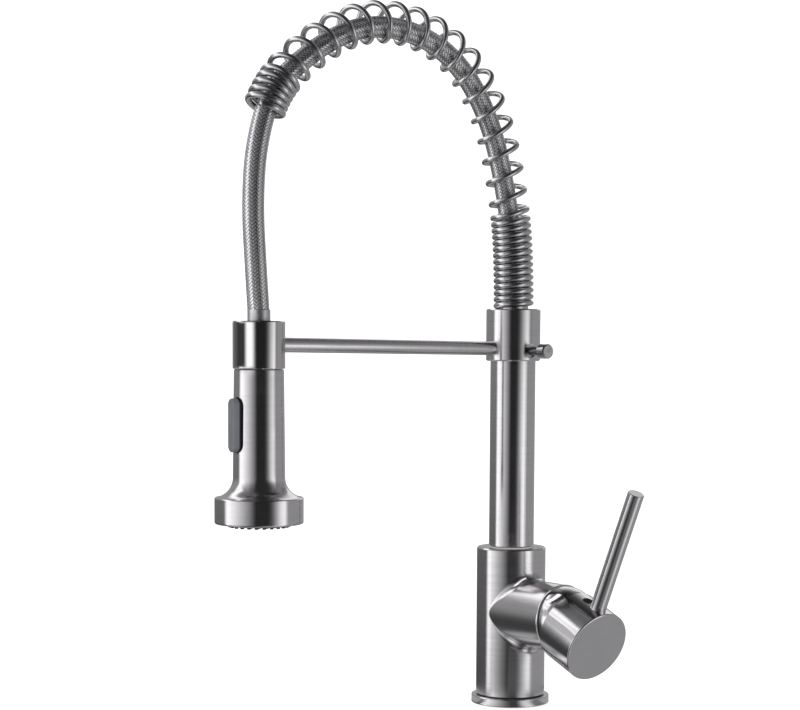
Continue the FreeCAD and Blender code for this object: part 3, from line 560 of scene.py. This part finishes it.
# tent all round: grey walls, a tall soft box on the left, a long one high up behind
def tent(deg, el):
    a = deg - 360.0 if deg > 90.0 else deg
    on_right = ease(-205.0, -228.0, a) if a < -90.0 else ease(-40.0, 10.0, a)
    behind = mix(0.06, 0.36, ease(-18.0, 12.0, el))
    right = 0.36 * (1 - 0.3 * ease(2.0, 30.0, el))
    wall = mix(behind, right, on_right)
    wall = mix(wall, mix(0.17, 0.36, on_right), ease(-28.0, -44.0, el))
    over = mix(0.17, 0.030, ease(-100.0, -50.0, a)) if a > -180 else mix(0.17, 0.04, ease(-190.0, -204.0, a))
    wall = mix(wall, mix(over, over * 0.5, ease(62.0, 80.0, el)), ease(44.0, 66.0, el))
    start = -133.0 - 0.5 * min(max(el - 10.0, 0.0), 10.0) - 1.8 * max(el - 20.0, 0.0)
    box = mix(1.60, 1.34, ease(-115.0, -97.0, a)) * (1 - ease(-92.0, -80.0, a))
    box *= ease(start, start + 13.0, a) * ease(-22.0, -9.0, el) * (1 - 0.90 * ease(26.0, 54.0, el))
    box *= 1 - 0.45 * ease(14.0, 28.0, el) * ease(-122.0, -108.0, a)
    box *= 1 - 0.45 * ease(-6.5, -9.5, el) * ease(-116.0, -107.0, a)
    high = 1.65 * ease(-206.0, -192.0, a) * (1 - ease(-122.0, -104.0, a)) * ease(27.0, 40.0, el) * (1 - ease(42.0, 54.0, el))
    back = 1.05 * between(-247.0, -213.0, 5.0, a) * ease(6.0, 16.0, el) * (1 - ease(24.0, 62.0, el))
    low = 0.30 * between(-207.0, -164.0, 8.0, a) * ease(-20.0, -26.0, el)
    sheen = 0.60 * between(-128.0, -90.0, 6.0, a) * ease(-10.0, -18.0, el) * (1 - ease(-52.0, -74.0, el))
    return max(wall, box if a > -185.0 else 0.0, high, back, sheen) + low


def tent_place(deg, el):
    a, e = math.radians(deg), math.radians(el)
    return (3.0 * math.cos(a) * math.cos(e), 3.0 * math.sin(a) * math.cos(e), MID + 3.0 * math.sin(e))


card("cards_tent", [-180 + 1.0 * i for i in range(361)], [-89.0 + 2.0 * i for i in range(90)], tent_place, tent)


# left of the camera: a soft box that fades into the dark flag round the camera
def left_card(deg, el):
    d = deg + 0.12 * max(el, 0.0)
    tone = 0.018 + 1.22 * max(0.0, 1 - (d + 96.0) / 47.5) ** 1.12
    tone *= 1 - 0.36 * ease(-6.5, -9.5, el)
    if el > 0:
        tone = 0.018 + (tone - 0.018) / (1 + (el / 30.0) ** 2.2)
    return mix(tone, 0.045 + 0.26 * max(0.0, 1 - (deg + 96.0) / 20.0), ease(-8.0, -26.0, el))


def ring(dist):
    return lambda deg, el: (
        dist * math.cos(math.radians(deg)), dist * math.sin(math.radians(deg)), MID + dist * math.tan(math.radians(el)))


ROWS = [-50, -38, -30, -25, -20, -15, -10, -5, 0, 5, 10, 15, 20, 25, 30, 35, 40, 45, 50, 55, 60, 64]
card("cards_left", [-96 + 1.0 * i for i in range(77)], ROWS, ring(1.15), left_card)


# right of the camera: flag, then a soft box close by
def right_card(deg, el):
    d = deg - 0.35 * max(el, 0.0)
    tone = 0.018 + 1.42 * ease(-30.0, 24.0, d) ** 1.55
    tone = mix(tone, 0.36, ease(21.0, 37.0, d))
    if el > 0:
        tone = 0.018 + (tone - 0.018) / (1 + (el / 16.0) ** 1.7)
    return mix(tone, tone * 0.6 + 0.16, ease(-10.0, -26.0, el))


card("cards_right", [-48 + 1.0 * i for i in range(95)], ROWS, ring(0.72), right_card)


# the pale floor close to the base, as the polished metal sees it
def floor_card(deg, rad):
    tone = mix(0.46, 0.05, between(-106.0, -22.0, 6.0, deg)) - 0.24 * between(4.0, 30.0, 6.0, deg)
    tone += 1.25 * ease(-102.0, -88.0, deg) * max(0.0, 1 - max(deg + 86.0, 0.0) / 50.0) ** 1.5
    tone += 0.45 * between(-16.0, 2.0, 6.0, deg)
    return mix(tone, 0.14, ease(0.050, 0.0695, rad))


def floor_place(deg, rad):
    return (rad * math.cos(math.radians(deg)), rad * math.sin(math.radians(deg)), 0.0003)


card("cards_floor", [-180 + 3.0 * i for i in range(121)], [0.0275 + 0.003 * i for i in range(15)], floor_place, floor_card)

# small one-sided cards close by, each seen only from nearer than its reach: one lights the branch's
# top by way of the body's wall, a grey one stands between the lever's cap and the left soft box
sm = Net("reflection_cards_close")
se = sm.add("ShaderNodeEmission")
sa = sm.add("ShaderNodeAttribute", attribute_name="tone")
sm.link(sa.outputs["Fac"], se.inputs["Strength"])
clear = sm.add("ShaderNodeBsdfTransparent")
face = sm.add("ShaderNodeNewGeometry")
pair = sm.add("ShaderNodeMixShader")
way_in = sm.add("ShaderNodeLightPath")
limit = sm.add("ShaderNodeAttribute", attribute_name="reach")
near = sm.add("ShaderNodeMath", operation="LESS_THAN")
sm.link(way_in.outputs["Ray Length"], near.inputs[0])
sm.link(limit.outputs["Fac"], near.inputs[1])
shown = sm.add("ShaderNodeMath", operation="MULTIPLY")
sm.link(near.outputs[0], shown.inputs[0])
sm.link(face.outputs["Backfacing"], shown.inputs[1])
sm.link(shown.outputs[0], pair.inputs["Fac"])
sm.link(clear.outputs["BSDF"], pair.inputs[1])
sm.link(se.outputs["Emission"], pair.inputs[2])
sm.link(pair.outputs["Shader"], sm.out.inputs["Surface"])


def shelf(x, y, height):
    """Places a card flat at the given height, round a point (x, y)."""
    return lambda deg, far: (x + far * math.cos(math.radians(deg)), y + far * math.sin(math.radians(deg)), height)


crest = card(
    "cards_crest", [-114 + 2.0 * i for i in range(65)], [0.018 + 0.002 * i for i in range(13)],
    shelf(0.020, -0.012, 0.115), lambda d, far: 2.3 * between(-92.0, 6.0, 5.0, d) * between(0.022, 0.038 - 0.005 * ease(-70.0, -50.0, d), 0.003, far),
)
veil = card(
    "cards_veil", [-138 + 2.0 * i for i in range(14)], [0.062 + 0.01 * i for i in range(14)],
    shelf(0.070, -0.020, 0.100), lambda d, far: 0.66,
)


# beside the docking ring: a dark flag on its left that ends in a narrow bright strip
def dock_place(deg, z):
    a, n = math.radians(deg), math.radians((deg - 36.6) / 2)
    return (0.016 * math.cos(n) + 0.03 * math.cos(a), -0.2 + 0.016 * math.sin(n) + 0.03 * math.sin(a), z)


def dock_tone(deg, z):
    return 0.05 + 0.10 * ease(-128.0, -160.0, deg) + 1.5 * ease(-102.0, -80.0, deg) * (1 - ease(-67.0, -43.0, deg))


dock = card("cards_dock", [-172 + 3.0 * i for i in range(43)], [0.2537, 0.2400, 0.2260], dock_place, dock_tone)
for o, far in ((crest, 0.06), (veil, 1.0), (dock, 0.05)):
    o.data.materials[0] = sm.mat
    count = len(o.data.vertices)
    o.data.attributes.new("reach", "FLOAT", "POINT").data.foreach_set("value", [far] * count)

world = bpy.data.worlds.new("studio")
scene.world = world
world.use_nodes = True
wt = world.node_tree
wt.nodes.clear()
wo = wt.nodes.new("ShaderNodeOutputWorld")
soft = wt.nodes.new("ShaderNodeBackground")
soft.inputs["Color"].default_value = (1, 1, 1, 1)
soft.inputs["Strength"].default_value = 1.12
dim = wt.nodes.new("ShaderNodeBackground")
geo = wt.nodes.new("ShaderNodeTexCoord")
sep = wt.nodes.new("ShaderNodeSeparateXYZ")
wt.links.new(geo.outputs["Generated"], sep.inputs[0])
rmp = wt.nodes.new("ShaderNodeValToRGB")
els = rmp.color_ramp.elements
els.new(0.3)
els.new(0.5)
for e, (where, tone) in zip(els, ((0.05, 0.25), (0.24, 0.20), (0.38, 0.05), (0.60, 0.03))):
    e.position = where
    e.color = (tone, tone, tone, 1)
lift = wt.nodes.new("ShaderNodeMath")
lift.operation = "MULTIPLY_ADD"
lift.inputs[1].default_value = 0.5
lift.inputs[2].default_value = 0.5
wt.links.new(sep.outputs["Z"], lift.inputs[0])
wt.links.new(lift.outputs[0], rmp.inputs["Fac"])
wt.links.new(rmp.outputs["Color"], dim.inputs["Color"])
lp = wt.nodes.new("ShaderNodeLightPath")
mixw = wt.nodes.new("ShaderNodeMixShader")
wt.links.new(lp.outputs["Is Glossy Ray"], mixw.inputs["Fac"])
wt.links.new(soft.outputs[0], mixw.inputs[1])
wt.links.new(dim.outputs[0], mixw.inputs[2])
wt.links.new(mixw.outputs[0], wo.inputs["Surface"])

scene.view_settings.view_transform = "Standard"
scene.view_settings.look = "None"
scene.view_settings.exposure = 0.0
scene.view_settings.gamma = 1.0
